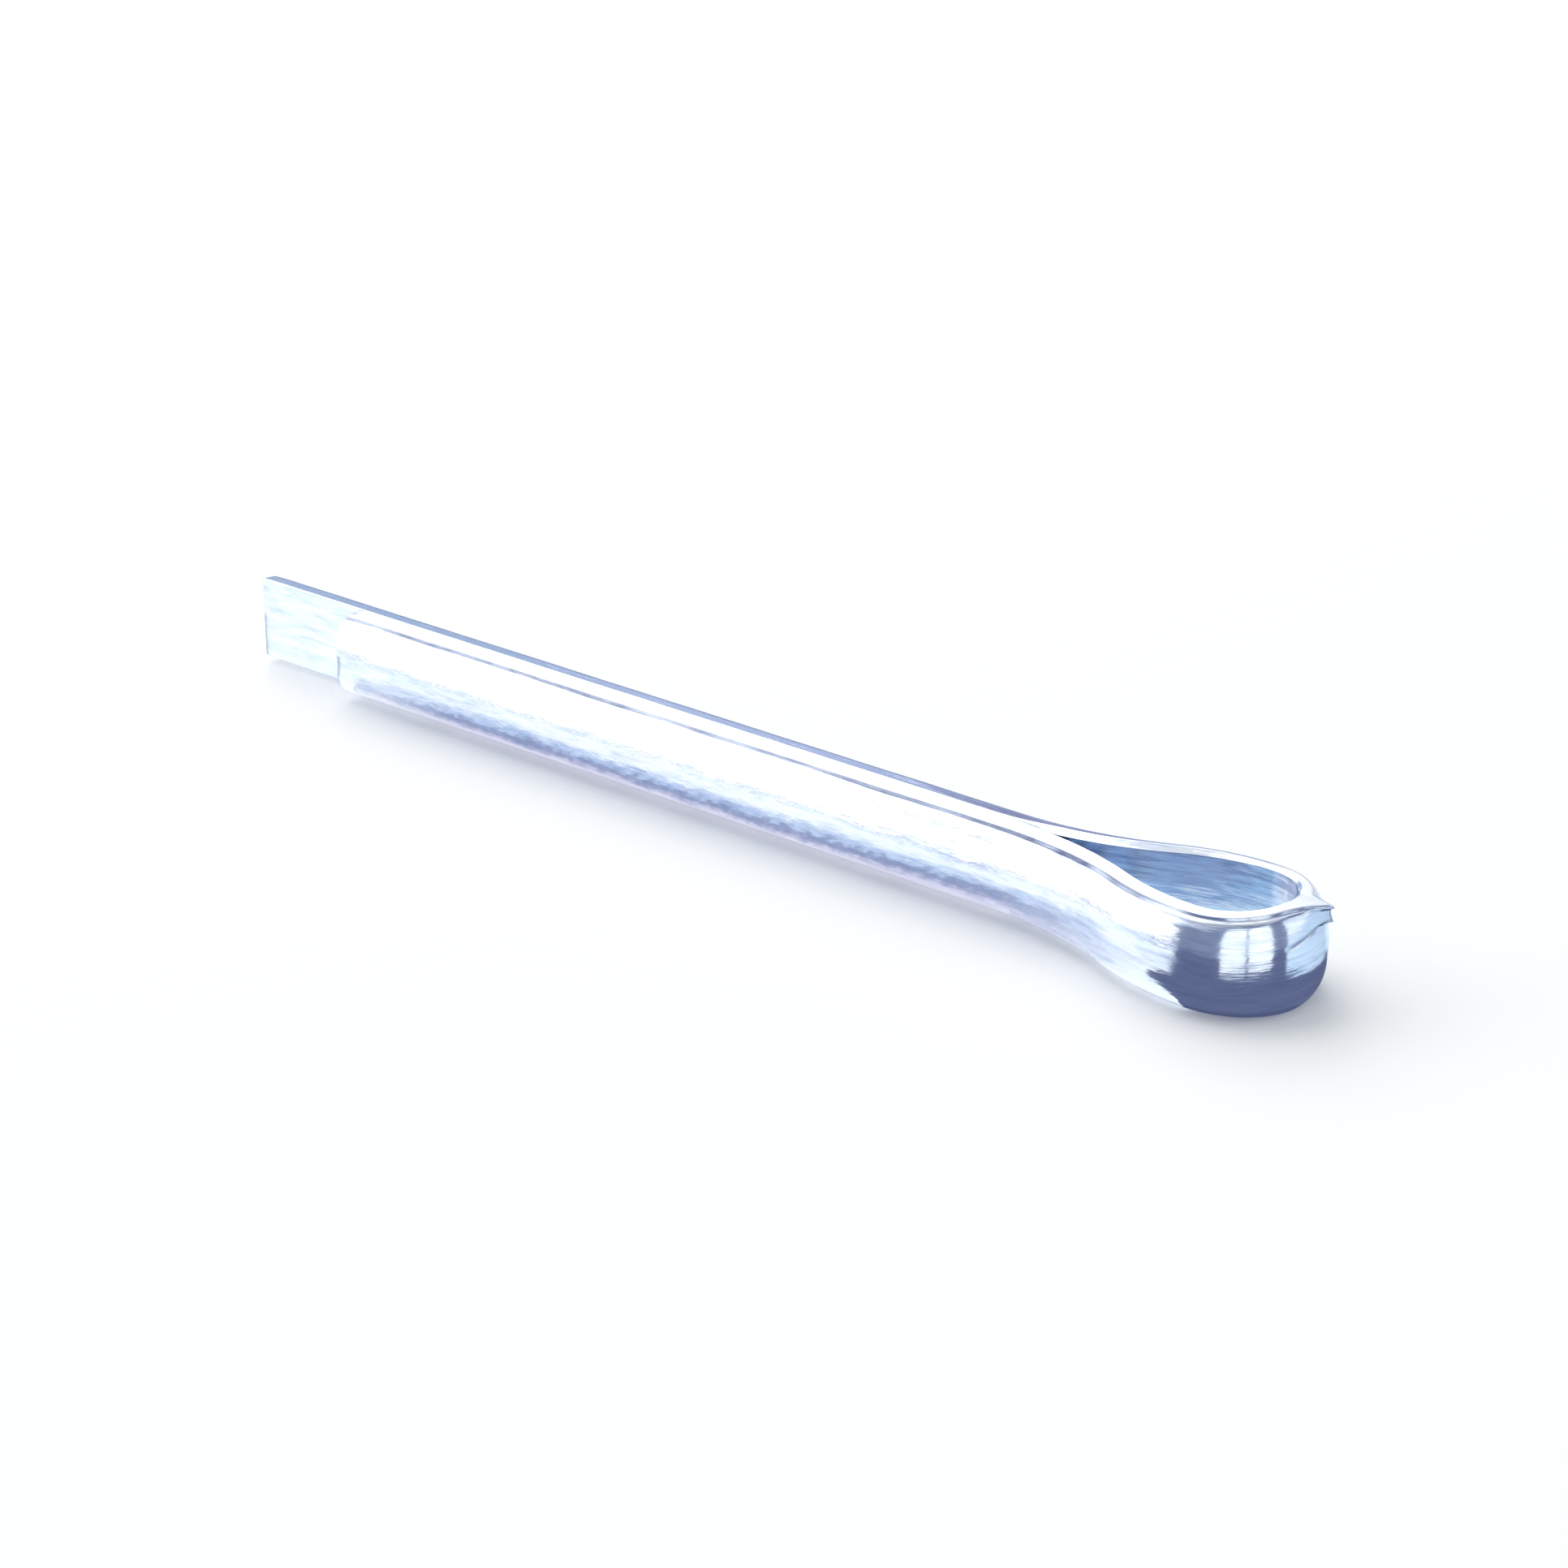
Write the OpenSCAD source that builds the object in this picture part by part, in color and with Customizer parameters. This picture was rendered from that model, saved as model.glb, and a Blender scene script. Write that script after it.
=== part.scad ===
// Split cotter pin: one length of half-round wire bent back on itself.
// The two legs lie flat to flat and close to a round shank, one leg longer than the other.
// The wire is pressed thinner and a little taller around the teardrop eye.
// Frame: +X along the shank towards the eye, +Z up through the eye's opening.
// The pin lies on its side; the origin is under the middle of its length, on the ground.

/* [Shank] */
// Diameter of the closed shank, both legs together
pin_d = 4.6; // [3.6:0.1:6]
// Straight length of the short leg, from the neck to its end
short_leg = 43; // [20:0.5:90]
// Straight length of the long leg, from the neck to its tip
long_leg = 50.5; // [24:0.5:98]
// Hairline gap between the flats of the closed legs
leg_gap = 0.08; // [0.04:0.02:0.4]
// Angle from the split to the crease that ends the flattened shoulder, in degrees
shoulder_angle = 23; // [15:0.5:26]
// Drop of the flattened shoulder from the split to the crease
shoulder_drop = 0.10; // [0.02:0.01:0.15]
// Rounding of the wire's two sharp edges beside the flat
edge_round = 0.16; // [0.06:0.01:0.25]

/* [Leg ends] */
// Length that the sheared corner takes off the outside of the short leg's end
short_corner = 1.1; // [0.4:0.1:3]
// Depth of the sheared corner at the short leg's end
short_corner_depth = 0.9; // [0.2:0.05:1.4]
// Length that the sheared corner takes off the outside of the long leg's tip
long_corner = 0.8; // [0.4:0.1:3]
// Depth of the sheared corner at the long leg's tip
long_corner_depth = 0.7; // [0.2:0.05:1.4]

/* [Eye] */
// Width of the eye's opening at its widest
eye_w = 5.6; // [4.6:0.1:8]
// Radius of the neck where each leg opens out into the eye
neck_r = 19.5; // [12:0.5:30]
// Radius of the eye's long sides
side_r = 10.9; // [8:0.1:20]
// Wire thickness at the eye's widest place
side_t = 1.6; // [1.2:0.02:2.2]
// Half height of the wire's bulge at the eye's widest place
side_h = 2.5; // [2.3:0.01:2.7]
// Wire thickness at the far end of the eye
end_t = 1.4; // [1:0.02:2]
// Half height of the wire's bulge at the far end of the eye
end_h = 2.7; // [2.4:0.01:2.9]
// Half height of the pressed flats above and below the eye's widest place
side_flat_z = 2.4; // [2.2:0.01:2.5]
// Half height of the pressed flats above and below the far end of the eye
end_flat_z = 2.5; // [2.3:0.01:2.6]

/* [Mesh] */
// Sections along each arc of the eye
arc_steps = 13; // [8:1:16]
// Points over the bulge of each section
bulge_steps = 20; // [12:2:24]

/* [Hidden] */
$fn = 64;

pin_r = pin_d / 2;
half_gap = leg_gap / 2;
leg_t = pin_r - half_gap;
crease_n = pin_r * sin(shoulder_angle);
crease_z = pin_r * cos(shoulder_angle);
flat_z = crease_z + shoulder_drop;
shoulder_slope = shoulder_drop / (crease_n - half_gap - edge_round);
zinc = [0.78, 0.80, 0.84];

// The inner face follows three tangent arcs on each side: neck, long side, round end.
eye_r = eye_w / 2;
swing = acos(1 - (eye_r - half_gap) / (neck_r + side_r));
neck_x = neck_r * sin(swing);
eye_x = (neck_r + side_r) * sin(swing);
eye_end_x = eye_x + eye_r + end_t;

// Height of the lowest face and the middle of the length, which place the origin.
ground_z = end_flat_z;
middle_x = (eye_end_x - long_leg) / 2;

// The eye's mesh starts a little inside the legs and is set in from their faces by a hair.
lead = 0.6;
set_in = 0.01;

// Section keys: thickness, bulge half height, bulge squareness, crease, edge height.
leg_key = [leg_t - 2 * set_in, pin_r - set_in, 2, crease_n - half_gap - set_in, flat_z - set_in];
side_key = [side_t, side_h, 2.1, 0.70, side_flat_z];
end_key = [end_t, end_h, 2.4, 0.72, end_flat_z];

function ease(t) = t * t * (3 - 2 * t);
function mix(a, b, t) = a + (b - a) * t;

// A station is [x, y, heading, key] on the inner face of the +Y side.
function neck_station(t) = let (a = swing * t)
    [neck_r * sin(a), half_gap + neck_r * (1 - cos(a)), a, t * neck_r / (neck_r + side_r)];
function side_station(t) = let (a = swing * (1 - t))
    [eye_x - side_r * sin(a), eye_r - side_r * (1 - cos(a)), a,
     (neck_r + side_r * t) / (neck_r + side_r)];
function end_station(t) = let (a = 90 * t)
    [eye_x + eye_r * sin(a), eye_r * cos(a), -a, 1 + t];

half_path = concat(
    [[-lead, half_gap, 0, 0]],
    [for (i = [0:arc_steps - 1]) neck_station(i / arc_steps)],
    [for (i = [0:arc_steps - 1]) side_station(i / arc_steps)],
    [for (i = [0:arc_steps]) end_station(i / arc_steps)]
);
path_n = len(half_path);

// The whole eye: out along +Y, then the same stations mirrored back along -Y.
function mirrored(s) = [s[0], -s[1], 180 - s[2], s[3]];
eye_path = concat(half_path, [for (i = [path_n - 2:-1:0]) mirrored(half_path[i])]);

function key_at(k) = k <= 1
    ? mix(leg_key, side_key, ease(k))
    : mix(side_key, end_key, ease(k - 1));

// Point of the bulge at angle a: a rounded box curve between ellipse and rectangle.
function bulge_point(key, a) =
    [key[0] * pow(cos(a), 2 / key[2]),
     key[1] * sign(a) * pow(abs(sin(a)), 2 / key[2])];

// Edge rounding: a quarter round between the flat and the shoulder.
round_steps = 3;
function edge_point(key, t) = let (a = 90 * t)
    [set_in + edge_round * (1 - cos(a)), key[4] - edge_round * (1 - sin(a))];

function upper_edge(key) = [for (i = [0:round_steps]) edge_point(key, i / round_steps)];
function section(key) =
    let (
        crease_a = acos(pow(key[3] / key[0], key[2] / 2)),
        top = upper_edge(key)
    )
    concat(
        [for (p = top) [p[0], -p[1]]],
        [for (i = [0:bulge_steps]) bulge_point(key, crease_a * (2 * i / bulge_steps - 1))],
        [for (i = [round_steps:-1:0]) top[i]]
    );

// A section point stands off the inner face, outward and up.
function station_points(s) = let (nx = -sin(s[2]), ny = cos(s[2]))
    [for (p = section(key_at(s[3]))) [s[0] + nx * p[0], s[1] + ny * p[0], p[1]]];

ring_n = 2 * (round_steps + 1) + bulge_steps + 1;
stations_n = len(eye_path);

module wire_section() {
    edge = half_gap + edge_round;
    far = pin_r + 1;
    far_z = flat_z - shoulder_slope * (far - edge);
    intersection() {
        circle(r = pin_r);
        union() {
            polygon([[edge, -flat_z], [far, -far_z], [far, far_z], [edge, flat_z]]);
            translate([half_gap, edge_round - flat_z])
                square([edge_round + set_in, 2 * (flat_z - edge_round)]);
            for (side = [-1, 1])
                translate([edge, side * (flat_z - edge_round)])
                    circle(r = edge_round);
        }
    }
}

// Plan of a straight leg: sheared square next to the split, its outer corner pressed round.
module leg_plan(length, corner, depth) {
    polygon([
        [0, 0], [0, pin_r + 1], [corner - length, pin_r + 1], [corner - length, pin_r],
        [0.3 * corner - length, pin_r - 0.4 * depth], [-length, pin_r - depth], [-length, 0]
    ]);
}

// A straight leg on the +Y side, sheared at its free end.
module leg(length, corner, depth) {
    intersection() {
        translate([-length, 0, 0])
            rotate([90, 0, 90])
                linear_extrude(height = length)
                    wire_section();
        translate([0, 0, -pin_d])
            linear_extrude(height = 2 * pin_d)
                leg_plan(length, corner, depth);
    }
}

// The eye's band, swept along the path with the section changing as it goes.
module eye_band() {
    points = [for (s = eye_path) each station_points(s)];
    sides = [for (i = [0:stations_n - 2]) for (j = [0:ring_n - 1])
        let (
            a = i * ring_n + j,
            b = i * ring_n + (j + 1) % ring_n,
            c = a + ring_n,
            d = b + ring_n
        )
        each [[a, c, b], [b, c, d]]];
    first_cap = [[for (j = [0:ring_n - 1]) j]];
    last_cap = [[for (j = [ring_n - 1:-1:0]) (stations_n - 1) * ring_n + j]];
    polyhedron(points = points, faces = concat(sides, first_cap, last_cap), convexity = 6);
}

module cotter_pin() {
    color(zinc)
        translate([-middle_x, 0, ground_z])
            union() {
                leg(long_leg, long_corner, long_corner_depth);
                mirror([0, 1, 0])
                    leg(short_leg, short_corner, short_corner_depth);
                eye_band();
            }
}

cotter_pin();
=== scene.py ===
"""Looks of the split cotter pin: one swept wire in bright zinc, on a pale studio floor.

The pin's own sizes are millimetres, in the pin's own frame: x = 0 where the closed legs
end and the eye begins, +x towards the eye, y across the split, z up from mid height.
Blender's frame is the row's, in metres, and `placed` takes one to the other.
"""

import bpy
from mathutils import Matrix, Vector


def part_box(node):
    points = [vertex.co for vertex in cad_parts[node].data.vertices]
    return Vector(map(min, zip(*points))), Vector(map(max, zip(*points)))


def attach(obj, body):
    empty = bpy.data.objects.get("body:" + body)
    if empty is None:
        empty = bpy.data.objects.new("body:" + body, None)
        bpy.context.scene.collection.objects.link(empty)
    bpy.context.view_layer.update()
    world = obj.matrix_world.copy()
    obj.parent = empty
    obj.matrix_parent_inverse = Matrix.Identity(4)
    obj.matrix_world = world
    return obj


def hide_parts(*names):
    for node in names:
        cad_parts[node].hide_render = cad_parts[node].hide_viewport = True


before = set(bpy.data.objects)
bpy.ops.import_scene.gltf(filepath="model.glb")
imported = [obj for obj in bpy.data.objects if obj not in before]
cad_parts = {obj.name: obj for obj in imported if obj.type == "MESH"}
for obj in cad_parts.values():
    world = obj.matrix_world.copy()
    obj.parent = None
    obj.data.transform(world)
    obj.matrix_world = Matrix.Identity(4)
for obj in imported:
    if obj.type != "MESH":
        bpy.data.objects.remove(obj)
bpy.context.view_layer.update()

import math

import bpy
from mathutils import Vector, noise

MM = 0.001

# --- Shank -------------------------------------------------------------------------
PIN_R = 2.3
SHORT_LEG = 43.0
LONG_LEG = 50.5
HALF_GAP = 0.04
CREASE_ANGLE = math.radians(23)
SHOULDER_DROP = 0.10

# Sheared leg ends, by side (1 is the long leg, -1 the short one): how far along the
# corner is pressed back, and how deep. The rest of the end is rolled over a little.
CORNERS = {1: (0.8, 0.7), -1: (1.1, 0.9)}
CORNER_FADE = 3.0
ROLL_OVER, ROLL_DEPTH = 0.9, 0.035
END_ROUND = 0.07
# Painted shade darkens the lower part of the end's edge; the sheared face is dull all over.
END_SHADE, END_SHADE_REACH, END_SHADE_TOP = 0.75, 0.30, 0.4
SHEARED_GRIME = 0.30

# --- Eye ---------------------------------------------------------------------------
EYE_R = 2.8
NECK_R = 19.5
SIDE_R = 10.9

# The eye's outer face leans: its lower half stands out a little more than its upper half.
LEAN = 0.13

# --- Slow unevenness of the drawn wire: share of its size, rates along and round it ---
WAVE, WAVE_ALONG, WAVE_ROUND = 0.004, 0.35, 0.7
# The legs' flats stay flat: it starts this far out from them.
WAVE_FROM = 0.01

# --- Rolled seam that ends each shoulder ---------------------------------------------
SEAM_WIDTH = 0.22
SEAM_DEPTH = 0.09
# (distance out in half widths, share of the depth, grime and painted shade on the legs,
# grime and painted shade in the eye), and where the plain bulge starts, in half widths.
SEAM_PROFILE = ((0.2, 0.45, 0.8, 0.35), (0.6, 0.9, 1.0, 0.38), (1.0, 1.0, 1.0, 0.36),
                (1.4, 0.85, 1.0, 0.32), (1.8, 0.4, 1.0, 0.28), (2.2, 0.0, 0.85, 0.26),
                (2.8, 0.0, 0.5, 0.45), (3.4, 0.0, 0.15, 0.20))
SEAM_END = 4.0
# Its depth and width vary along the wire, and so do its grime and painted shade.
SEAM_LEAST, SEAM_UNEVEN, SEAM_BLOTCH = 0.75, 0.5, 0.5
SEAM_NARROWEST, SEAM_WIDENS = 0.7, 0.4
UNEVEN_RATE, UNEVEN_ROW = 0.22, (3.1, 0.4)
BLOTCH_RATE, BLOTCH_ROW = 0.55, (7.7, 2.4)
# The seam opens and darkens with grime and painted shade round each neck, and heals in the
# eye, where the long leg's runs out before the eye's far end.
SEAM_SWELL, SEAM_SWELL_AT, SEAM_SWELL_REACH = 0.35, 5.0, 6.5
SEAM_GRIME_AND_SHADE, NECK_GRIME_AND_SHADE = 0.88, 1.0
HEAL_START, HEAL_STOP = 9.5, 12.5
RUN_OUT, RUN_OUT_START, RUN_OUT_STOP = 0.8, 12.0, 14.5

# --- Inner edges -------------------------------------------------------------------
# They are sharp along the split, by side, and rounder in the eye, where the long leg's
# edge is a bevel that narrows again towards the far end.
SPLIT_ROUND = {1: 0.06, -1: 0.02}
EDGE_ROUND = 0.10
BEVEL, BEVEL_SLOPE = 0.34, 0.75
BEVEL_START, BEVEL_FULL, BEVEL_FADE, BEVEL_STOP = -1.0, 3.0, 5.0, 21.0
# Painted shade on the long leg's side: along its edge as far as the neck, and from there on
# along its shoulder, thickest beside the seam.
SPLIT_SHADE, SPLIT_FADE = 0.20, 3.0
OUTER_SHADE, OUTER_START, OUTER_FULL = 0.42, 2.0, 8.0

# A scar pressed across the outer face of the eye's end, rising towards the burr; painted shade
# darkens it.
SCAR_START, SCAR_STOP, SCAR_LOW, SCAR_RISE = 16.3, 18.6, 0.84, 0.34
SCAR_WIDTH, SCAR_DEPTH, SCAR_TAPER, SCAR_SHADE = 0.16, 0.04, 0.4, 0.80

# --- Burr pinched up at the end of the eye, on the long leg's side of its middle -----
# Distances are back along the wire from the middle of the eye's end.
BURR_START, BURR_PEAK, BURR_STOP = -0.8, 0.95, 1.20
BURR_OUT = 1.05
BURR_DROOP = 0.30
# It dies out down the outer face, from a little below the edge.
BURR_BELOW, BURR_REACH = 0.15, 0.50
# On the burr the darkening is set to this share.
BURR_DARKENING = 0.32
# A torn flake that hangs under the burr, between two depths below the crease.
FLAKE_TOP, FLAKE_TIP, FLAKE_FOOT, FLAKE_OUT = 0.30, 1.05, 1.20, 0.40

# --- Mesh steps --------------------------------------------------------------------
LEG_STEP = 0.30
EYE_STEP, EYE_END_STEP = 0.16, 0.12
BULGE_STEPS = 44
# Distances of a leg's first rings from its free end.
LEG_END_RINGS = (0.0, 0.02, 0.05, 0.09, 0.15, 0.25, 0.4, 0.6, 0.8, 1.0)
# Rings of the end face: how far out from the split they close, and by what shares.
END_FACE_N, END_FACE_SHARES = 0.9, (0.02, 0.35, 0.7, 0.9, 0.98)
# Shares of the flat face, the edge's corner and the shoulder, closest where they meet.
FLAT_SHARES = (0.0, 0.2, 0.4, 0.6, 0.8, 0.993)
ROUND_SHARES = (0.0, 0.05, 0.25, 0.5, 0.75, 0.95, 1.0)
SHOULDER_SHARES = (0.03, 0.25, 0.5, 0.75, 1.0)

LEG_T = PIN_R - HALF_GAP
CREASE_N = PIN_R * math.sin(CREASE_ANGLE)
CREASE_Z = PIN_R * math.cos(CREASE_ANGLE)
FLAT_Z = CREASE_Z + SHOULDER_DROP

# Section keys: thickness, bulge half height, squareness, crease, edge height.
LEG = (LEG_T, PIN_R, 2.0, CREASE_N - HALF_GAP, FLAT_Z)
SIDE = (1.60, 2.50, 2.1, 0.70, 2.40)
END = (1.40, 2.70, 2.4, 0.72, 2.50)

SWING = math.acos(1 - (EYE_R - HALF_GAP) / (NECK_R + SIDE_R))
EYE_X = (NECK_R + SIDE_R) * math.sin(SWING)
EYE_END_X = EYE_X + EYE_R + END[0]
EYE_END_ALONG = (NECK_R + SIDE_R) * SWING + EYE_R * math.pi / 2

CAD_LO, CAD_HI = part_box("cotter_pin")
ORIGIN = Vector((CAD_HI.x - EYE_END_X * MM, 0, (CAD_LO.z + CAD_HI.z) / 2))


def placed(x, y, z):
    """A point of the pin's own frame, in millimetres, as a point of the row's frame."""
    return ORIGIN + Vector((x, y, z)) * MM


def ease(t):
    return t * t * (3 - 2 * t)


def mix(a, b, t):
    return a + (b - a) * t


def section_at(k):
    """k runs 0 at the neck, 1 at the eye's widest place, 2 at the far end of the eye."""
    a, b, t = (LEG, SIDE, ease(k)) if k <= 1 else (SIDE, END, ease(k - 1))
    return [mix(p, q, t) for p, q in zip(a, b)]


def bulge(section, a):
    """Point (n, z) of the outer face at angle a, a curve between ellipse and box."""
    t, h, m = section[:3]
    c, s = math.cos(a), math.sin(a)
    return t * c ** (2 / m), h * math.copysign(abs(s) ** (2 / m), s)


def upper_half(section, place):
    """Half a section as (n, z, grime and painted shade), from the middle of the flat face up
    and round to the bulge's middle, at a place with its own edge, seam, grime and painted shade."""
    t, _, m, crease_n, edge_z = section
    crease_a = math.acos((crease_n / t) ** (m / 2))
    crease_z = bulge(section, crease_a)[1]
    r, down = place.edge_round, place.edge_round * mix(1.0, BEVEL_SLOPE, place.bevelled)
    points = [(0.0, (edge_z - down) * f, 0.0) for f in FLAT_SHARES]
    for f in ROUND_SHARES:
        a = math.pi / 2 * f
        out = mix(1 - math.cos(a), f, place.bevelled)
        up = mix(math.sin(a), f, place.bevelled)
        points.append((r * out, edge_z - down * (1 - up), place.edge_shade))
    for f in SHOULDER_SHARES:
        n, z = mix(r, crease_n, f), mix(edge_z, crease_z, f)
        points.append((n, z, place.outer_shade * f ** 3))
    step = SEAM_WIDTH / 2 / t * (SEAM_NARROWEST + place.seam / SEAM_DEPTH * SEAM_WIDENS)
    for share, depth, leg_grime_and_shade, eye_grime_and_shade in SEAM_PROFILE:
        a = crease_a - step * share
        n, z = bulge(section, a)
        down = place.seam * depth
        # Grime and painted shade in and beside the seam, less where it has healed in the eye.
        grime_and_shade = mix(leg_grime_and_shade * place.seam_grime_and_shade, eye_grime_and_shade, place.healed)
        points.append((n - down * math.cos(a), z - down * math.sin(a), grime_and_shade))
    start = crease_a - step * SEAM_END
    for i in range(BULGE_STEPS + 1):
        points.append((*bulge(section, start * (1 - i / BULGE_STEPS)), 0.0))
    return points


def ring(section, place):
    """The whole closed section, anticlockwise, from the middle of the flat face."""
    half = upper_half(section, place)
    lower = [(n, -z, grime_and_shade) for n, z, grime_and_shade in half[1:-1]]
    return half + lower[::-1]


def between(low, high, value):
    """0 below low, 1 above high, and eased from one to the other."""
    return ease(min(1.0, max(0.0, (value - low) / (high - low))))


class Place:
    """What changes down each side of the wire, at distance s past the neck's start."""

    def __init__(self, side, s):
        swell = math.exp(-((s - SEAM_SWELL_AT) / SEAM_SWELL_REACH) ** 2)
        uneven = noise.noise(Vector((s * UNEVEN_RATE, *UNEVEN_ROW)))
        blotch = noise.noise(Vector((s * BLOTCH_RATE, BLOTCH_ROW[0], BLOTCH_ROW[1] * side)))
        self.seam = SEAM_DEPTH * (SEAM_LEAST + SEAM_UNEVEN * uneven + SEAM_SWELL * swell)
        self.seam_grime_and_shade = mix(SEAM_GRIME_AND_SHADE, NECK_GRIME_AND_SHADE, swell) * min(1.0, 1 + SEAM_BLOTCH * blotch)
        self.healed = between(HEAL_START, HEAL_STOP, s)
        opened = between(BEVEL_START, BEVEL_FULL, s)
        in_eye = EDGE_ROUND
        self.bevelled = self.edge_shade = self.outer_shade = 0.0
        if side > 0:
            self.seam *= 1 - RUN_OUT * between(RUN_OUT_START, RUN_OUT_STOP, s)
            in_eye = mix(BEVEL, EDGE_ROUND, between(BEVEL_FADE, BEVEL_STOP, s))
            self.bevelled = opened
            # On the long leg's side: painted shade along the split edge on the legs, and on the
            # shoulder in the eye.
            self.edge_shade = SPLIT_SHADE * between(SPLIT_FADE, -SPLIT_FADE, s)
            self.outer_shade = OUTER_SHADE * between(OUTER_START, OUTER_FULL, s)
        self.edge_round = mix(SPLIT_ROUND[side], in_eye, opened)


def wave(s, n, z):
    """Slow unevenness of the drawn wire, as a share of its size."""
    return 1 + WAVE * noise.noise(Vector((s * WAVE_ALONG, n * WAVE_ROUND, z * WAVE_ROUND)))


def burr(back):
    """How far the burr stands out, by the distance back from the middle of the eye's end."""
    if back <= BURR_START or back >= BURR_STOP:
        return 0.0
    if back < BURR_PEAK:
        return BURR_OUT * ((back - BURR_START) / (BURR_PEAK - BURR_START)) ** 2
    return BURR_OUT * (BURR_STOP - back) / (BURR_STOP - BURR_PEAK)


def burr_share(section, n, z):
    """Most of the burr is in the upper crease, and it dies out down the outer face."""
    crease_n, edge_z = section[3:]
    if z < 0 or n < EDGE_ROUND:
        return 0.0
    if n <= crease_n:
        return (n - EDGE_ROUND) / (crease_n - EDGE_ROUND)
    return math.exp(-max(0.0, edge_z - BURR_BELOW - z) / BURR_REACH)


def flake(section, n, z):
    """How far the torn flake stands out: a hooked triangle below the upper crease."""
    depth = section[4] - z
    if z < 0 or n < section[3] or not FLAKE_TOP < depth < FLAKE_FOOT:
        return 0.0
    if depth < FLAKE_TIP:
        return FLAKE_OUT * (depth - FLAKE_TOP) / (FLAKE_TIP - FLAKE_TOP)
    return FLAKE_OUT * (FLAKE_FOOT - depth) / (FLAKE_FOOT - FLAKE_TIP)


def scar_at(s, n, z):
    """How deep in the scar a point of the outer face lies, as a share."""
    if n < CREASE_N or z < 0 or not SCAR_START < s < SCAR_STOP:
        return 0.0
    off = abs(z - SCAR_LOW - SCAR_RISE * (SCAR_STOP - s))
    ends = min(1.0, (s - SCAR_START) / SCAR_TAPER, (SCAR_STOP - s) / SCAR_TAPER)
    return ends * max(0.0, 1 - off / SCAR_WIDTH)


def stations():
    """(x, y, heading, k, along) down the +Y side's inner face, from neck to the eye's end."""
    out = []
    neck_n = round(NECK_R * SWING / EYE_STEP)
    side_n = round(SIDE_R * SWING / EYE_STEP)
    end_n = round(EYE_R * math.pi / 2 / EYE_END_STEP)
    whole = (NECK_R + SIDE_R) * SWING
    for i in range(neck_n):
        a = SWING * i / neck_n
        s = NECK_R * a
        x, y = NECK_R * math.sin(a), HALF_GAP + NECK_R * (1 - math.cos(a))
        out.append((x, y, a, s / whole, s))
    for i in range(side_n):
        a = SWING * (1 - i / side_n)
        s = whole - SIDE_R * a
        x, y = EYE_X - SIDE_R * math.sin(a), EYE_R - SIDE_R * (1 - math.cos(a))
        out.append((x, y, a, s / whole, s))
    for i in range(end_n + 1):
        a = math.pi / 2 * i / end_n
        x, y = EYE_X + EYE_R * math.sin(a), EYE_R * math.cos(a)
        out.append((x, y, -a, 1 + i / end_n, whole + EYE_R * a))
    return out


def leg_distances(length):
    """Distances of a leg's rings from its free end, closer together near the end."""
    near = LEG_END_RINGS[-1]
    count = round((length - near) / LEG_STEP)
    return [*LEG_END_RINGS, *(near + (length - near) * i / count for i in range(1, count))]


def corner_back(side, n):
    """How far the sheared end's outer corner stands back at distance n from the split."""
    run, depth = CORNERS[side]
    v = max(0.0, (n - (PIN_R - depth)) / depth)
    return run * (1 - math.sqrt(max(0.0, 1 - min(v, 1.0) ** 2)))


def rolled_in(d):
    """How much narrower the wire is at distance d from its sheared end."""
    narrower = 0.0
    if d < END_ROUND:
        narrower = END_ROUND - math.sqrt(END_ROUND ** 2 - (END_ROUND - d) ** 2)
    if d < ROLL_OVER:
        narrower += ROLL_DEPTH * (1 - d / ROLL_OVER) ** 2
    return narrower


def leg_rings(side, length, s_sign, s_offset):
    """Rings of a straight leg, from inside its end face up to just before the neck.

    A ring's point is (x, y, z) and then what the material reads: how far along the wire
    it is, its place (n, z) in the section, and its grime and painted shade. The sign and the
    offset turn x into the distance along the wire."""
    rings = []
    # (distance from the free end, share drawn in towards the middle of the end face)
    steps = [(0.0, 1 - share) for share in END_FACE_SHARES]
    steps += [(d, 0.0) for d in leg_distances(length)]
    for d, inward in steps:
        x0 = d - length
        s = s_offset + s_sign * x0
        fade = max(0.0, 1 - d / CORNER_FADE) ** 2
        k = (1 - rolled_in(d) / PIN_R) * (1 - inward)
        points = []
        for n, z, grime_and_shade in ring(LEG, Place(side, x0)):
            pn, pz = mix(END_FACE_N, n, k), z * k
            w = wave(s, n, z) if n > WAVE_FROM else 1.0
            x = x0 + corner_back(side, pn * w) * fade
            # The end face gets the sheared face's dull grime; the lower part of the end's edge
            # gets painted shade.
            if inward:
                n, z, grime_and_shade = pn, pz, SHEARED_GRIME
            elif z < END_SHADE_TOP:
                grime_and_shade = max(grime_and_shade, END_SHADE * max(0.0, 1 - d / END_SHADE_REACH))
            points.append((x, side * (HALF_GAP + max(pn * w, 0.0)), pz * w, s, n, z, grime_and_shade))
        rings.append(points)
    return rings


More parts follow.
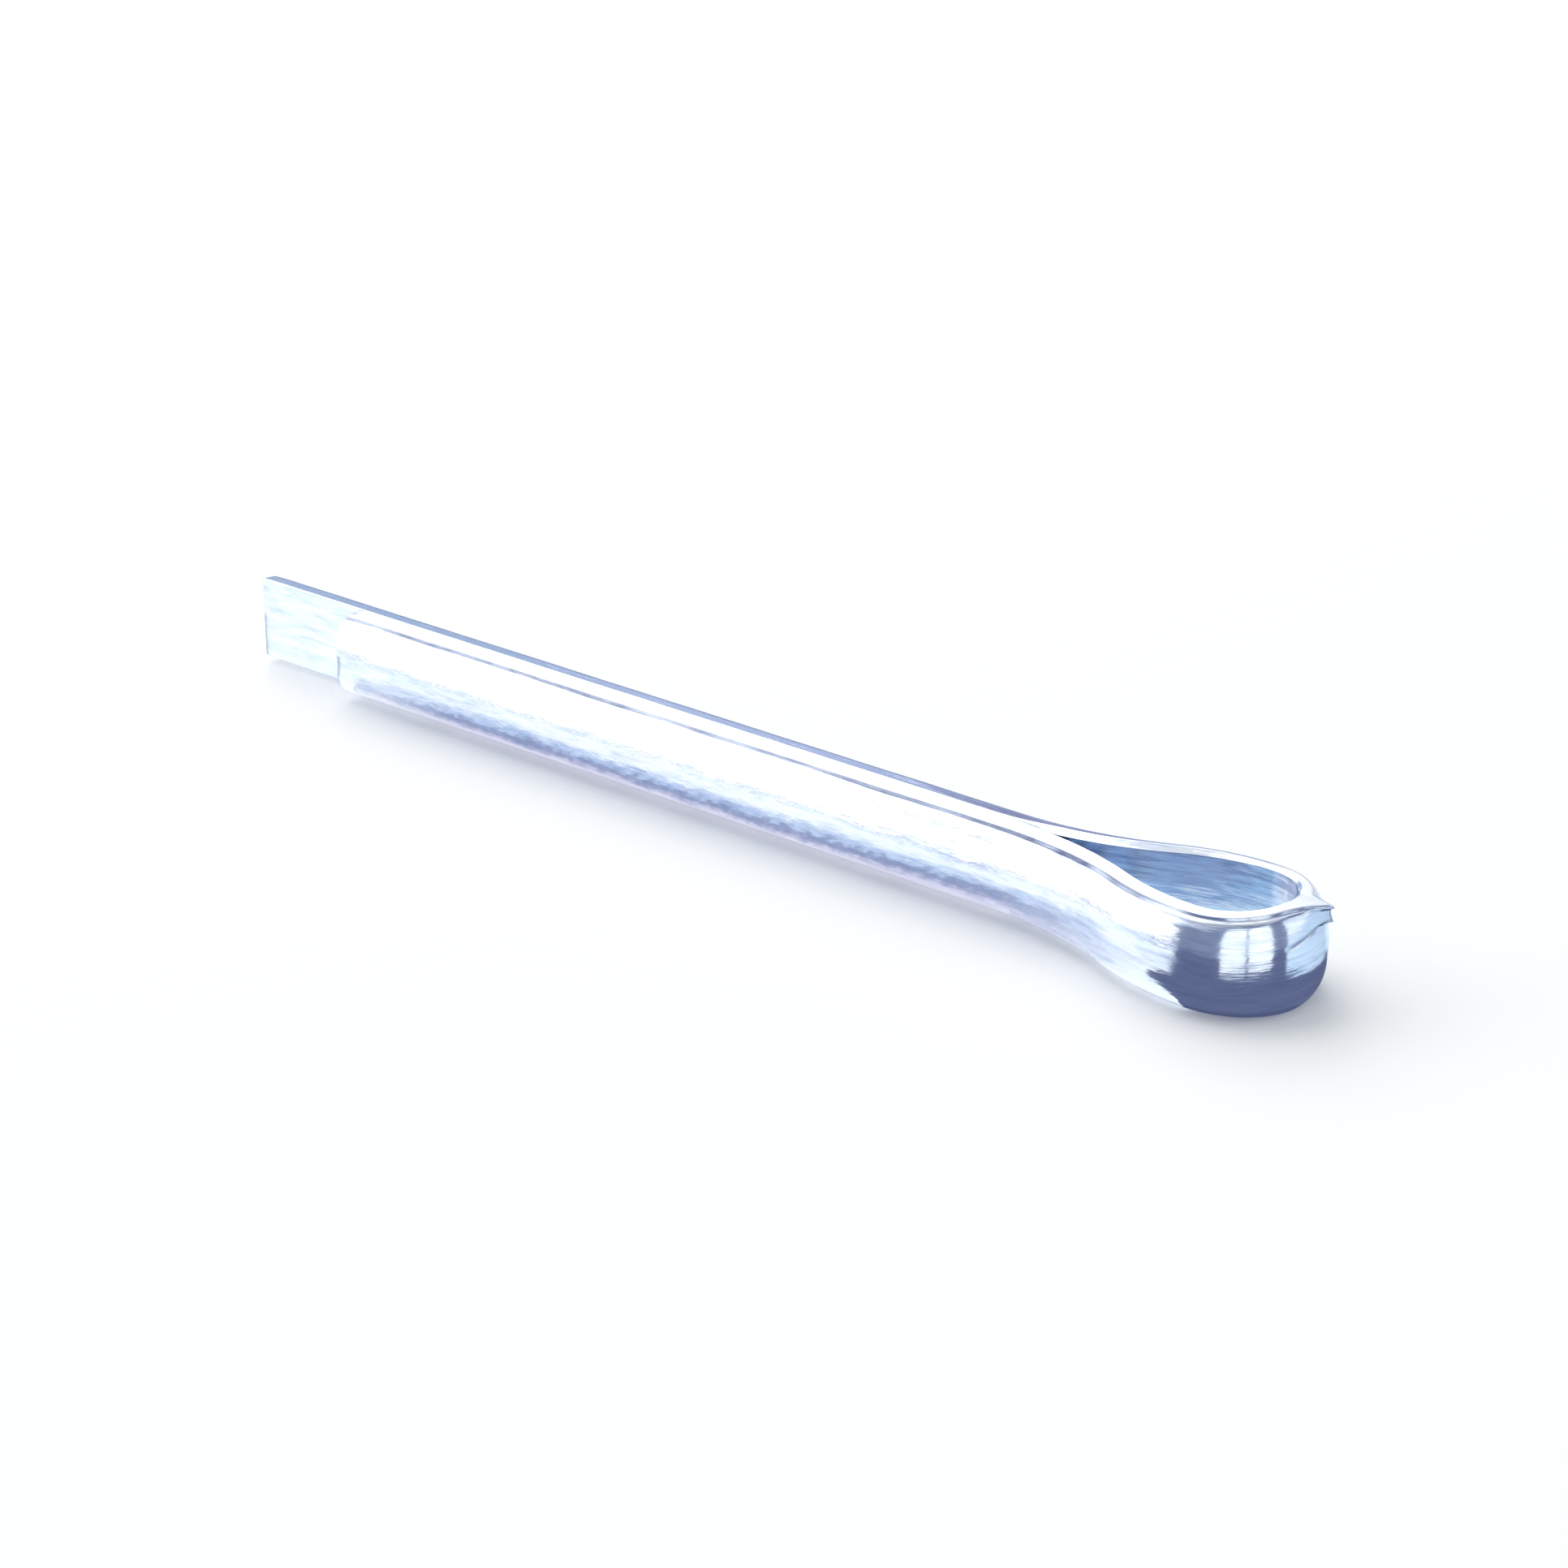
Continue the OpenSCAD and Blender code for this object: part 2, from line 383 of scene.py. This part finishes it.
def eye_ring(station, side, half_length):
    """The wire's ring at one station of the eye, its points as in leg_rings."""
    x, y, heading, k, s = station
    place = Place(side, s)
    if side < 0:
        s = 2 * half_length - s
    nx, ny = -math.sin(heading), math.cos(heading)
    section = section_at(k)
    pinch = burr(half_length - s)
    points = []
    for n, z, grime_and_shade in ring(section, place):
        w = wave(s, n, z)
        out = n * w * (1 - LEAN * ease(min(k, 1)) * z / END[1])
        share = pinch * burr_share(section, n, z)
        # The burr's darkening is set to its own share; the scar is darkened with painted shade.
        grime_and_shade = mix(grime_and_shade, BURR_DARKENING * (n > EDGE_ROUND), pinch / BURR_OUT)
        scar = scar_at(s, n, z)
        grime_and_shade = max(grime_and_shade, SCAR_SHADE * scar)
        out += share + flake(section, n, z) * (pinch / BURR_OUT) ** 3 - SCAR_DEPTH * scar
        z -= share * BURR_DROOP
        points.append((x + nx * out, side * (y + ny * out), z, s, n, z, grime_and_shade))
    return points


def build_wire():
    """All rings of the wire, from the long leg's tip round the eye to the short leg's end."""
    path = stations()
    half_length = path[-1][4]
    rings = leg_rings(1, LONG_LEG, 1, 0)
    rings += [eye_ring(station, 1, half_length) for station in path]
    rings += [eye_ring(station, -1, half_length) for station in path[-2::-1]]
    rings += leg_rings(-1, SHORT_LEG, -1, 2 * half_length)[::-1]
    return rings


def middle(points):
    """The point that closes a leg's end face."""
    return tuple(sum(values) / len(points) for values in zip(*points))


def make_wire():
    rings = build_wire()
    n = len(rings[0])
    points = [p for r in rings for p in r]
    faces = []
    for i in range(len(rings) - 1):
        for j in range(n):
            a, b = i * n + j, i * n + (j + 1) % n
            faces.append((a, a + n, b + n, b))
    first, last, tail = len(points), len(points) + 1, len(points) - n
    points += [middle(rings[0]), middle(rings[-1])]
    for j in range(n):
        k = (j + 1) % n
        faces += [(first, j, k), (last, tail + k, tail + j)]
    mesh = bpy.data.meshes.new("cotter_pin_wire")
    mesh.from_pydata([tuple(placed(*p[:3])) for p in points], [], faces)
    straight = mesh.attributes.new("wire", "FLOAT_VECTOR", "POINT")
    straight.data.foreach_set("vector", [c for p in points for c in p[3:6]])
    # The grime and painted shade of each point.
    seam = mesh.attributes.new("seam", "FLOAT", "POINT")
    seam.data.foreach_set("value", [p[6] for p in points])
    mesh.polygons.foreach_set("use_smooth", [True] * len(faces))
    obj = bpy.data.objects.new("cotter_pin_wire", mesh)
    bpy.context.scene.collection.objects.link(obj)
    return obj


wire = make_wire()
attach(wire, "root")
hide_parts("cotter_pin")


# --- Nodes -------------------------------------------------------------------------
def add(tree, kind, inputs=(), **settings):
    """A new node. An input is a value, or another node's output socket to link it to."""
    made = tree.nodes.new(kind)
    for name, value in settings.items():
        setattr(made, name, value)
    for name, value in dict(inputs).items():
        if isinstance(value, bpy.types.NodeSocket):
            tree.links.new(value, made.inputs[name])
        else:
            made.inputs[name].default_value = value
    return made


def math_node(tree, operation, a, b=0.0):
    return add(tree, "ShaderNodeMath", {0: a, 1: b}, operation=operation).outputs[0]


def ramp(tree, value, *stops):
    """A colour ramp of (place, colour or grey) stops."""
    made = add(tree, "ShaderNodeValToRGB", {"Fac": value})
    elements = made.color_ramp.elements
    while len(elements) < len(stops):
        elements.new(0.5)
    for element, (place, colour) in zip(elements, stops):
        element.position = place
        element.color = (*colour, 1) if isinstance(colour, tuple) else (colour, colour, colour, 1)
    return made.outputs["Color"]


def mixed_colour(tree, share, first, second):
    """A first colour, from a socket, with a share of a plain second one."""
    made = add(tree, "ShaderNodeMix", {"Factor": share}, data_type="RGBA")
    tree.links.new(first, made.inputs["A"])
    made.inputs["B"].default_value = (*second, 1)
    return made.outputs["Result"]


def stretched(tree, source, scale):
    made = add(tree, "ShaderNodeVectorMath", {0: source, 1: scale}, operation="MULTIPLY")
    return made.outputs[0]


def mapped(tree, value, start, stop, at_start, at_stop):
    """A value carried in a straight line from one range to another."""
    return add(tree, "ShaderNodeMapRange", {
        "Value": value, "From Min": start, "From Max": stop, "To Min": at_start,
        "To Max": at_stop}).outputs[0]


def noise_node(tree, vector, detail=2.0, roughness=0.5, distortion=0.0):
    made = add(tree, "ShaderNodeTexNoise", {
        "Vector": vector, "Scale": 1.0, "Detail": detail, "Roughness": roughness,
        "Distortion": distortion})
    return made.outputs["Fac"]


def new_material(name):
    material = bpy.data.materials.new(name)
    material.use_nodes = True
    material.node_tree.nodes.clear()
    return material, material.node_tree


# --- Zinc-plated drawn wire ----------------------------------------------------------
ZINC = (0.68, 0.745, 0.86)
ZINC_DULL = (0.54, 0.61, 0.76)
ZINC_BRIGHT = (0.77, 0.82, 0.90)
# The dark colour of grime and of painted shade, and how rough it makes the zinc.
GRIME_AND_SHADE = (0.11, 0.13, 0.21)
GRIME_AND_SHADE_ROUGH = 0.5

# Depths of the dents from the rolls, the plating's orange peel and the drawing marks.
DENTS, PEEL, COARSE_MARKS, FINE_MARKS = 0.12 * MM, 0.04 * MM, 0.05 * MM, 0.01 * MM
# The bend has smoothed the peel round the eye: the share that is left there, how a
# millimetre counts on the ramp back to the legs, and where that ramp starts and stops.
SMOOTHED_EYE, SMOOTH_RATE, SMOOTH_START, SMOOTH_STOP = 0.22, 0.03, 0.50, 0.85
# The same on the thin side of the section, near the flats, by the distance out from them.
SMOOTHED_FLATS, FLATS_START, FLATS_STOP = 0.25, 0.80, 1.0


def relief(tree, *layers):
    """Bumps laid one over the other, each a (height, strength, depth)."""
    below = {}
    for height, strength, depth in layers:
        bump = add(tree, "ShaderNodeBump", {
            "Height": height, "Strength": strength, "Distance": depth, **below})
        below = {"Normal": bump.outputs[0]}
    return bump.outputs[0]


def zinc_material():
    material, tree = new_material("zinc_plated_wire")
    along = add(tree, "ShaderNodeAttribute", attribute_name="wire").outputs["Vector"]
    # How much grime and painted shade each point has.
    seam = add(tree, "ShaderNodeAttribute", attribute_name="seam").outputs["Fac"]

    # Drawing marks: long, thin, running with the wire.
    coarse = noise_node(tree, stretched(tree, along, (0.30, 4.5, 4.5)), 3.0, 0.6, 0.3)
    fine = noise_node(tree, stretched(tree, along, (0.9, 20.0, 20.0)), 2.0, 0.6)
    # Orange peel of the plating, and slow dents from the rolls.
    where = add(tree, "ShaderNodeSeparateXYZ", {0: along}).outputs
    past = math_node(tree, "ABSOLUTE", math_node(tree, "SUBTRACT", where["X"], EYE_END_ALONG))
    past = math_node(tree, "MULTIPLY", past, SMOOTH_RATE)
    legs = ramp(tree, past, (SMOOTH_START, SMOOTHED_EYE), (SMOOTH_STOP, 1.0))
    rolled = ramp(tree, where["Y"], (FLATS_START, SMOOTHED_FLATS), (FLATS_STOP, 1.0))
    peel = noise_node(tree, stretched(tree, along, (1.4, 5.0, 5.0)), 2.0, 0.55, 0.5)
    peel = math_node(tree, "MULTIPLY", peel, math_node(tree, "MULTIPLY", legs, rolled))
    dents = noise_node(tree, stretched(tree, along, (0.35, 0.9, 0.9)), 2.0, 0.5)
    # Patches of duller and brighter zinc, and blots in the grime and painted shade.
    blots = noise_node(tree, stretched(tree, along, (0.9, 3.0, 3.0)), 3.0, 0.6)
    patches = noise_node(tree, stretched(tree, along, (0.45, 2.6, 2.6)), 4.0, 0.62, 0.6)

    clean = ramp(tree, patches, (0.32, ZINC_DULL), (0.50, ZINC), (0.68, ZINC_BRIGHT))
    # Grime and painted shade darken the zinc where the mask says, broken up by blots.
    dirt_and_shade = math_node(tree, "MULTIPLY", ramp(tree, blots, (0.36, 0.78), (0.62, 1.0)), seam)
    base = mixed_colour(tree, dirt_and_shade, clean, GRIME_AND_SHADE)
    gloss = ramp(tree, patches, (0.30, 0.26), (0.50, 0.13), (0.75, 0.07))
    rough = math_node(tree, "MAXIMUM", gloss, math_node(tree, "MULTIPLY", seam, GRIME_AND_SHADE_ROUGH))
    normal = relief(tree, (dents, 0.5, DENTS), (peel, 0.5, PEEL), (coarse, 0.3, COARSE_MARKS),
                    (fine, 0.3, FINE_MARKS))

    shader = add(tree, "ShaderNodeBsdfPrincipled", {
        "Base Color": base, "Metallic": 1.0, "Roughness": rough, "Normal": normal})
    add(tree, "ShaderNodeOutputMaterial", {"Surface": shader.outputs[0]})
    return material


wire.data.materials.append(zinc_material())

# --- Studio: places and lengths in metres, in the row's frame -----------------------
WHITE = (1, 1, 1)
FLOOR_COLOUR = (0.95, 0.945, 0.935)
FLOOR_GLOW = 0.14
FLOOR_SIZE = 6.0
FLOOR_DROP = 0.00002


def seen_or_mirrored(tree):
    """1 on a camera, glossy or transmission ray, and 0 on the rest."""
    path = add(tree, "ShaderNodeLightPath").outputs
    either = math_node(tree, "MAXIMUM", path["Is Camera Ray"], path["Is Glossy Ray"])
    return math_node(tree, "MAXIMUM", either, path["Is Transmission Ray"])


def stage_sheet(name, corners):
    """A flat studio piece of any outline."""
    mesh = bpy.data.meshes.new(name)
    mesh.from_pydata([tuple(corner) for corner in corners], [], [range(len(corners))])
    obj = bpy.data.objects.new(name, mesh)
    bpy.context.scene.collection.objects.link(obj)
    return obj


def plane(name, centre, right, up, width, height):
    """A flat rectangle, its face towards right x up."""
    right, up = Vector(right).normalized() * width / 2, Vector(up).normalized() * height / 2
    signs = ((-1, -1), (1, -1), (1, 1), (-1, 1))
    return stage_sheet(name, [Vector(centre) + right * i + up * j for i, j in signs])


def floor_material():
    material, tree = new_material("studio_floor")
    diffuse = add(tree, "ShaderNodeBsdfDiffuse", {"Color": (*FLOOR_COLOUR, 1)})
    glow = math_node(tree, "MULTIPLY", seen_or_mirrored(tree), FLOOR_GLOW)
    lit = add(tree, "ShaderNodeEmission", {"Color": (*WHITE, 1), "Strength": glow})
    both = add(tree, "ShaderNodeAddShader", {0: diffuse.outputs[0], 1: lit.outputs[0]})
    add(tree, "ShaderNodeOutputMaterial", {"Surface": both.outputs[0]})
    return material


floor = plane("studio_floor", (0, 0, -FLOOR_DROP), (1, 0, 0), (0, 1, 0), FLOOR_SIZE, FLOOR_SIZE)
floor.data.materials.append(floor_material())

# The room is pale where it is seen or mirrored, and lights the pin less than that.
ROOM_SEEN_COLOUR, ROOM_SEEN = (0.97, 0.98, 1.0), 0.95
ROOM_LIGHT_COLOUR, ROOM_LIGHT = (0.86, 0.93, 1.0), 0.45


def studio_world():
    world = bpy.data.worlds.new("studio")
    world.use_nodes = True
    tree = world.node_tree
    tree.nodes.clear()
    lit = add(tree, "ShaderNodeBackground", {
        "Color": (*ROOM_LIGHT_COLOUR, 1), "Strength": ROOM_LIGHT})
    pale = add(tree, "ShaderNodeBackground", {
        "Color": (*ROOM_SEEN_COLOUR, 1), "Strength": ROOM_SEEN})
    both = add(tree, "ShaderNodeMixShader", {
        0: seen_or_mirrored(tree), 1: lit.outputs[0], 2: pale.outputs[0]})
    add(tree, "ShaderNodeOutputWorld", {"Surface": both.outputs[0]})
    return world


bpy.context.scene.world = studio_world()


def softbox(name, direction, distance, width, height, radiance, colour=WHITE):
    """A rectangular lamp that faces the pin and lights as a panel of that radiance."""
    data = bpy.data.lights.new(name, "AREA")
    data.shape = "RECTANGLE"
    data.size, data.size_y = width, height
    data.energy = radiance * math.pi * width * height
    data.color = colour
    lamp = bpy.data.objects.new(name, data)
    towards = Vector(direction).normalized()
    lamp.location = towards * distance
    lamp.rotation_euler = towards.to_track_quat("Z", "Y").to_euler()
    lamp.visible_camera = False
    bpy.context.scene.collection.objects.link(lamp)


# Each lamp: direction, distance, width, height, radiance and colour.
softbox("key_softbox", (-0.62, 0.16, 0.74), 3.0, 3.4, 3.3, 1.85, (1.0, 0.985, 0.965))
softbox("left_softbox", (-0.79, -0.545, 0.385), 3.3, 2.1, 2.1, 1.7)
softbox("back_softbox", (-0.58, 0.60, 0.56), 3.3, 1.5, 1.15, 1.7)


def reflection_only(obj, colour, strength):
    """Makes a studio piece glow evenly, where reflections show it and nowhere else."""
    material, tree = new_material(obj.name)
    glow = add(tree, "ShaderNodeEmission", {"Color": (*colour, 1), "Strength": strength})
    add(tree, "ShaderNodeOutputMaterial", {"Surface": glow.outputs[0]})
    material.cycles.emission_sampling = "NONE"
    obj.data.materials.append(material)
    obj.visible_camera = obj.visible_diffuse = obj.visible_shadow = False
    obj.visible_transmission = obj.visible_volume_scatter = False
    return tree, glow


def card(name, azimuth, elevations, width_angle, distance, colour, strength, seen_from=0):
    """A studio card that only reflections show. It stands upright at an azimuth, facing
    the pin, and reaches from one elevation to the other, all seen from a place along x."""
    low, high = (distance * math.tan(math.radians(e)) for e in elevations)
    a = math.radians(azimuth)
    centre = Vector((math.cos(a), math.sin(a), 0)) * distance
    centre += Vector((seen_from, 0, (low + high) / 2))
    width = 2 * distance * math.tan(math.radians(width_angle / 2))
    obj = plane(name, centre, (math.sin(a), -math.cos(a), 0), (0, 0, 1), width, high - low)
    reflection_only(obj, colour, strength)


DAYLIGHT = (0.93, 0.98, 1.0)
SLATE = (0.60, 0.69, 1.0)
NAVY = (0.44, 0.58, 1.0)
EYE = placed(EYE_X, 0, 0)

# Each card: azimuth, elevations, width in degrees, distance, colour and strength.
# The dark wall in front, a bright one to its left and a bluer one to its right. Two flags
# close to the eye hide the bright wall from it, and the shank does not mirror them.
card("front_flag", -41.5, (-1, 53), 125, 0.60, SLATE, 0.46)
card("left_reflector_tall", -124, (-1, 45), 44, 0.62, WHITE, 1.8)
card("left_flag", -111.5, (-1, 42), 25, 0.152, SLATE, 0.44, EYE.x)
card("left_flag_top", -117, (24, 42), 26, 0.150, SLATE, 0.44, EYE.x)
card("side_flag", 45, (-1, 50), 62, 0.58, NAVY, 0.50)
# A big window of two lights, each three panes high, and a plainer window beside it.
for column, azimuth in enumerate((-50, -18)):
    for row, elevations in enumerate(((0.5, 11), (12.5, 23), (25, 38))):
        card(f"window_pane_{column}_{row}", azimuth, elevations, 29, 0.50, DAYLIGHT, 1.7)
card("side_window_a", 29, (0.5, 30), 28, 0.50, DAYLIGHT, 1.35)
card("side_window_b", 63, (0.5, 30), 30, 0.50, DAYLIGHT, 1.35)
# The room behind: a dark corner beside a bright panel, and two greyer stretches of wall.
card("corner_flag", 121.4, (-1, 22), 6.4, 0.59, (0.62, 0.63, 1.0), 0.50)
card("corner_reflector", 103, (5, 55), 30, 0.59, WHITE, 1.5)
card("back_flag", 128.25, (-1, 24), 7.5, 0.60, (0.63, 0.72, 0.98), 0.86)
card("back_flag_left", 143, (-1, 24), 22, 0.60, (0.58, 0.72, 0.98), 0.76)


# --- Studio floor: what the pin mirrors of it, in flat shapes ------------------------
# The painted shade on the floor lies over the pale shapes, and pools of daylight lie over both.
PALE_LAYER, FLOOR_SHADE_LAYER, POOL_LAYER = 0.0, 0.005 * MM, 0.01 * MM
# Colour and glow of the painted shade on the floor.
FLOOR_SHADE, FLOOR_SHADE_GLOW = (0.50, 0.58, 1.0), 0.31
# How far out across the floor the reflectors, the painted shade and the other dark floor, and the
# pools go.
REFLECTOR_FAR, DARK_FAR, POOL_FAR = 0.30, 0.40, 0.40


def floor_shape(name, corners, layer, colour, strength):
    """A flat shape of any outline, on the floor or just above it."""
    obj = stage_sheet(name, [(x, y, layer) for x, y in corners])
    return reflection_only(obj, colour, strength)


def floor_card(name, lo, hi, colour, strength, layer=PALE_LAYER):
    floor_shape(name, (lo, (hi[0], lo[1]), hi, (lo[0], hi[1])), layer, colour, strength)


def floor_pool(name, outline, colour, strength):
    """Daylight on the floor, its outline given by azimuths and distances from the eye."""
    corners = [(EYE.x + r * math.cos(math.radians(a)), EYE.y + r * math.sin(math.radians(a)))
               for a, r in outline]
    floor_shape(name, corners, POOL_LAYER, colour, strength)


# The shade under the shank: its ends near the short leg's end and in the neck, how far it
# reaches in front and behind, and how far a strip of it runs on behind the bare tip.
SHADE_TIP, SHADE_NECK = CAD_LO.x + 0.0078, 0.0255
SHADE_REACH, SHADE_BACK = 0.0105, 0.0040
BARE_TIP, BARE_TIP_FRONT = -0.0450, 0.0001
SHADE_GLOW = 1.3
SHADE_SCALE = 0.0075
# What lies below the shank, by the distance out from its middle: the strip it all but
# touches, the line of shade beside that, a second one, and the lit floor.
SHADE = ((0.16, (0.68, 0.66, 0.76)), (0.21, (0.56, 0.54, 0.67)), (0.245, (0.42, 0.43, 0.57)),
         (0.28, (0.31, 0.34, 0.49)), (0.345, (0.29, 0.34, 0.48)), (0.385, (0.46, 0.53, 0.70)),
         (0.42, (0.58, 0.67, 0.82)), (0.50, (0.54, 0.60, 0.78)), (0.56, (0.60, 0.69, 0.82)),
         (0.66, (0.86, 0.92, 0.93)), (0.80, (1.05, 1.05, 1.0)))
SHADE_LEFT, SHADE_RIGHT, SHADE_FADE = -0.0190, 0.0160, 0.0100
SHADE_PAST_ENDS = (0.95, 0.98, 1.0)
# The streaks draw apart towards the eye.
SPREAD_START, SPREAD_STOP, SPREAD = 0.0030, 0.0160, 1.38
# They waver slowly all over, and are mottled outside the line of shade.
WAVER_SCALE, WAVER = (260, 700, 1), 0.16
MOTTLE_SCALE, MOTTLE_START, MOTTLE_FULL, MOTTLE_LEAST = (1700, 900, 1), 0.29, 0.42, 0.25


def shank_shade():
    """What the shank's underside mirrors: streaks of shade that open out to the light."""
    outline = ((SHADE_TIP, -SHADE_REACH), (SHADE_NECK, -SHADE_REACH), (SHADE_NECK, SHADE_BACK),
               (BARE_TIP, SHADE_BACK), (BARE_TIP, BARE_TIP_FRONT), (SHADE_TIP, BARE_TIP_FRONT))
    tree, glow = floor_shape("shank_shade", outline, PALE_LAYER, WHITE, SHADE_GLOW)
    spot = add(tree, "ShaderNodeTexCoord").outputs["Object"]
    where = add(tree, "ShaderNodeSeparateXYZ", {0: spot}).outputs
    out = math_node(tree, "MULTIPLY", math_node(tree, "ABSOLUTE", where["Y"]), 1 / SHADE_SCALE)
    spread = mapped(tree, where["X"], SPREAD_START, SPREAD_STOP, 1.0, 1 / SPREAD)
    across = math_node(tree, "MULTIPLY", out, spread)
    mottled = mapped(tree, across, MOTTLE_START, MOTTLE_FULL, MOTTLE_LEAST, 1.0)
    for scale, reach in ((WAVER_SCALE, WAVER), (MOTTLE_SCALE, mottled)):
        wobble = noise_node(tree, stretched(tree, spot, scale), 3.0, 0.6)
        wobble = math_node(tree, "MULTIPLY", math_node(tree, "SUBTRACT", wobble, 0.5), reach)
        across = math_node(tree, "ADD", across, wobble)
    left = math_node(tree, "SUBTRACT", SHADE_LEFT, where["X"])
    right = math_node(tree, "SUBTRACT", where["X"], SHADE_RIGHT)
    ends = math_node(tree, "MULTIPLY", math_node(tree, "MAXIMUM", left, right), 1 / SHADE_FADE)
    colour = mixed_colour(tree, ends, ramp(tree, across, *SHADE), SHADE_PAST_ENDS)
    tree.links.new(colour, glow.inputs["Color"])


shank_shade()

# Painted light on the floor, seen only in reflections: in front of the shank, beside the bare tip
# and beside the neck.
FRONT_LEFT = -0.0260
floor_card("front_reflector", (FRONT_LEFT, -REFLECTOR_FAR), (SHADE_NECK, -SHADE_REACH),
           DAYLIGHT, 1.45)
floor_card("left_reflector", (-REFLECTOR_FAR, -REFLECTOR_FAR), (FRONT_LEFT, 0.0), DAYLIGHT, 1.45)
floor_card("neck_reflector", (SHADE_NECK, -SHADE_REACH), (0.0300, -0.0024), DAYLIGHT, 1.35)

# Painted shade on the floor in front, seen only in reflections. Its inner edge draws in from
# beside the neck to under the eye's far end, and its left edge runs out across the floor.
floor_shape("front_floor_shade", (
    (0.0256, -0.0061), (0.02645, -0.00535), (0.02765, -0.00495), (0.0283, -0.00455),
    (0.0290, -0.0041), (0.0293, -0.0035), (0.0298, -0.0026), (0.0306, -0.0019),
    (DARK_FAR, -0.0019), (DARK_FAR, -DARK_FAR), (-0.214, -DARK_FAR), (0.0266, -0.0082)),
    FLOOR_SHADE_LAYER, FLOOR_SHADE, FLOOR_SHADE_GLOW)
floor_shape("back_floor_flag", (
    (-DARK_FAR, 0.012), (0.0235, 0.012), (-0.167, 0.364), (-DARK_FAR, 0.364)),
    PALE_LAYER, (0.60, 0.72, 1.0), 0.85)
# Painted shade on the floor beyond the eye's end, seen only in reflections.
floor_card("side_floor_shade", (0.0322, -0.0026), (DARK_FAR, 0.30), FLOOR_SHADE, FLOOR_SHADE_GLOW,
           FLOOR_SHADE_LAYER)

# A skirting in front: a low line along the horizon, darker towards the eye.
SKIRTING_Y, SKIRTING_HIGH = -0.050, 0.0056
for name, left, right, colour, strength in (
        ("skirting_near", -0.017, 0.001, (0.60, 0.62, 0.92), 0.70),
        ("skirting_far", -0.131, -0.017, (0.90, 0.90, 1.0), 0.92)):
    skirting = plane(name, ((left + right) / 2, SKIRTING_Y, SKIRTING_HIGH / 2), (-1, 0, 0),
                     (0, 0, 1), right - left, SKIRTING_HIGH)
    reflection_only(skirting, colour, strength)

# Daylight that falls through the windows, outwards from the shadow of their sill.
SILL = 0.0148
floor_pool("window_pool_0", (
    (-64.5, SILL), (-64.5, POOL_FAR), (-35.5, POOL_FAR), (-37.2, 0.034), (-40, SILL)),
    DAYLIGHT, 1.3)
floor_pool("window_pool_1", (
    (-37.5, SILL), (-34.1, 0.034), (-32.5, POOL_FAR), (-3.5, POOL_FAR), (-6.4, 0.035),
    (-13.5, SILL)), DAYLIGHT, 1.3)
floor_pool("side_pool", (
    (1, 0.0104), (11.3, 0.036), (15, 0.35), (97, 0.35), (97, 0.0080), (60, 0.0078),
    (36, 0.0082), (19, 0.0090)), (0.70, 0.86, 1.0), 1.15)

# The floor seen through the eye: shade in its neck, light at its middle, shade at its end.
NECK_FLOOR, LIGHT_FLOOR, END_FLOOR, END_FLOOR_STOP = 0.0176, 0.0234, 0.0270, 0.0315
EYE_FLOOR_Y, EYE_NECK_Y = 0.0018, 0.0024
floor_shape("eye_shade_neck", (
    (NECK_FLOOR, -EYE_FLOOR_Y), (LIGHT_FLOOR, -EYE_NECK_Y), (LIGHT_FLOOR, EYE_NECK_Y),
    (NECK_FLOOR, EYE_FLOOR_Y)), PALE_LAYER, (0.30, 0.44, 0.80), 0.70)
floor_card("eye_light", (LIGHT_FLOOR, -EYE_FLOOR_Y), (END_FLOOR, EYE_FLOOR_Y),
           (0.56, 0.82, 1.0), 1.15)
floor_card("eye_shade", (END_FLOOR, -EYE_FLOOR_Y), (END_FLOOR_STOP, EYE_FLOOR_Y),
           (0.46, 0.62, 0.84), 1.0)

# --- Camera, fitted to the photo's outline of the pin ---------------------------------
AZIMUTH, ELEVATION = math.radians(40.56), math.radians(22.5)
AIM = placed(-7.154, -7.612, 4.335)
DISTANCE = 188.8 * MM
SENSOR, LENS = 36, 94.7
CLIP_NEAR, CLIP_FAR = 0.005, 20


def add_camera():
    back = Vector((math.sin(AZIMUTH) * math.cos(ELEVATION),
                   -math.cos(AZIMUTH) * math.cos(ELEVATION), math.sin(ELEVATION)))
    data = bpy.data.cameras.new("camera")
    data.sensor_width, data.lens = SENSOR, LENS
    data.clip_start, data.clip_end = CLIP_NEAR, CLIP_FAR
    camera = bpy.data.objects.new("camera", data)
    camera.location = AIM + back * DISTANCE
    camera.rotation_euler = (math.pi / 2 - ELEVATION, 0, AZIMUTH)
    bpy.context.scene.collection.objects.link(camera)
    bpy.context.scene.camera = camera


add_camera()
bpy.context.scene.view_settings.view_transform = "Standard"
